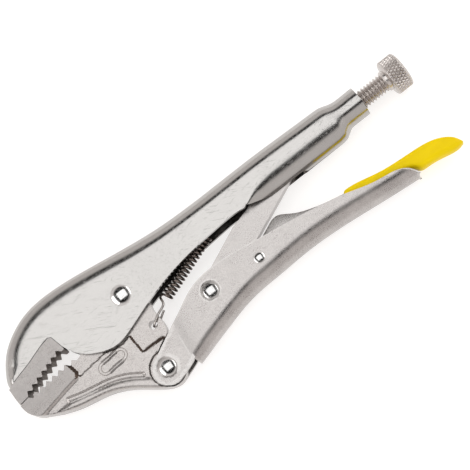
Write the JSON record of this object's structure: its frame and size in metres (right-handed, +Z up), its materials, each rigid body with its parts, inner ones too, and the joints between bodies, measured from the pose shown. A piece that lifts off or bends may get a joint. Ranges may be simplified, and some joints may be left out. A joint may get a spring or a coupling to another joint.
{
  "type": "locking pliers",
  "caption": "Locking pliers with toothed straight jaws, a folding toggle handle, a yellow release lever, a return spring and a knurled adjusting screw.",
  "frame": {"origin": "middle of the bounding box, at its base, with the tool lying on one side and its jaws shut", "axes": "+X along the adjusting screw towards its knob, +Y from the lower handle to the upper handle, +Z up through the tool's width"},
  "size_m": [0.2246, 0.0697, 0.017],
  "materials": {
    "upper_steel": "smooth satin nickel plate",
    "lower_steel": "blasted satin nickel plate",
    "jaw_steel": "ground forged steel, plated",
    "screw_steel": "rolled and knurled steel",
    "rivet_steel": "polished domes",
    "spring_steel": "blackened spring wire",
    "yellow_sleeve": "glossy dipped plastic"
  },
  "bodies": {
    "upper_handle": {"upper_handle": "upper_steel", "fixed_jaw": "jaw_steel", "jaw_pivot_rivet": "rivet_steel", "tension_spring": "spring_steel"},
    "lower_jaw": {"lower_jaw": "jaw_steel"},
    "lower_handle": {"lower_handle": "lower_steel", "handle_pivot_rivet": "rivet_steel", "toggle_rivet": "rivet_steel", "lever_rivet": "rivet_steel"},
    "toggle_link": {"toggle_link": "lower_steel"},
    "release_lever": {"release_lever": "lower_steel", "lever_sleeve": "yellow_sleeve"},
    "adjusting_screw": {"adjusting_screw": "screw_steel"},
    "screw_knob": {"knob_collar": "screw_steel", "screw_knob": "screw_steel"}
  },
  "joints": [
    {"name": "jaw_open", "type": "hinge", "parent": "upper_handle", "child": "lower_jaw", "pos_m": [-0.0477, 0.0122, 0.0085], "axis": [0, 0, 1], "range_deg": [0, 17], "deforming": ["tension_spring"]},
    {"name": "handle_fold", "type": "hinge", "parent": "lower_jaw", "child": "lower_handle", "pos_m": [-0.0506, -0.0263, 0.0085], "axis": [0, 0, 1], "range_deg": [-52, 0]},
    {"name": "link_swing", "type": "hinge", "parent": "lower_handle", "child": "toggle_link", "pos_m": [-0.0155, -0.01125, 0.0085], "axis": [0, 0, 1], "range_deg": [0, 62]},
    {"name": "lever_press", "type": "hinge", "parent": "lower_handle", "child": "release_lever", "pos_m": [0.0103, -0.01365, 0.0085], "axis": [0, 0, 1], "range_deg": [0, 4]},
    {"name": "screw_travel", "type": "slide", "parent": "upper_handle", "child": "adjusting_screw", "axis": [1, 0, 0], "range_m": [0, 0.016]},
    {"name": "screw_turn", "type": "hinge", "parent": "adjusting_screw", "child": "screw_knob", "pos_m": [0.1073, 0.0153, 0.0085], "axis": [1, 0, 0], "range_deg": [0, 3389]}
  ],
  "couplings": [
    {"joint": "jaw_open", "follows": "handle_fold", "ratio": -0.32},
    {"joint": "link_swing", "follows": "handle_fold", "ratio": -1.18},
    {"joint": "screw_turn", "follows": "screw_travel", "rad_per_m": 3696}
  ]
}
